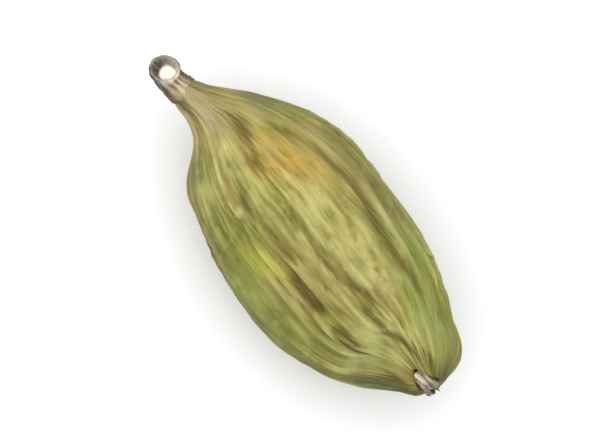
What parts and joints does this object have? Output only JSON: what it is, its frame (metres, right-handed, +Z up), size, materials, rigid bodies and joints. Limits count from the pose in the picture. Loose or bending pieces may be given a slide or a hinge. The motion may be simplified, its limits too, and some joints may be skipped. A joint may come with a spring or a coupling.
{
  "type": "green cardamom pod",
  "caption": "Dried green cardamom pod lying on its side: a closed ribbed three-sided husk with a cupped stalk stub and the withered remnant of its flower.",
  "frame": {"origin": "on the surface that the pod rests on, at the middle of its length and width", "axes": "+X from the stalk end to the flower end, +Z up from the resting surface, +Y across the pod"},
  "size_m": [0.0182, 0.008, 0.0072],
  "materials": {
    "husk_skin": "matte",
    "stalk_fibre": "matte",
    "withered_flower": "matte"
  },
  "bodies": {
    "root": {"husk": "husk_skin", "stalk": "stalk_fibre", "flower_remnant": "withered_flower"}
  },
  "joints": []
}
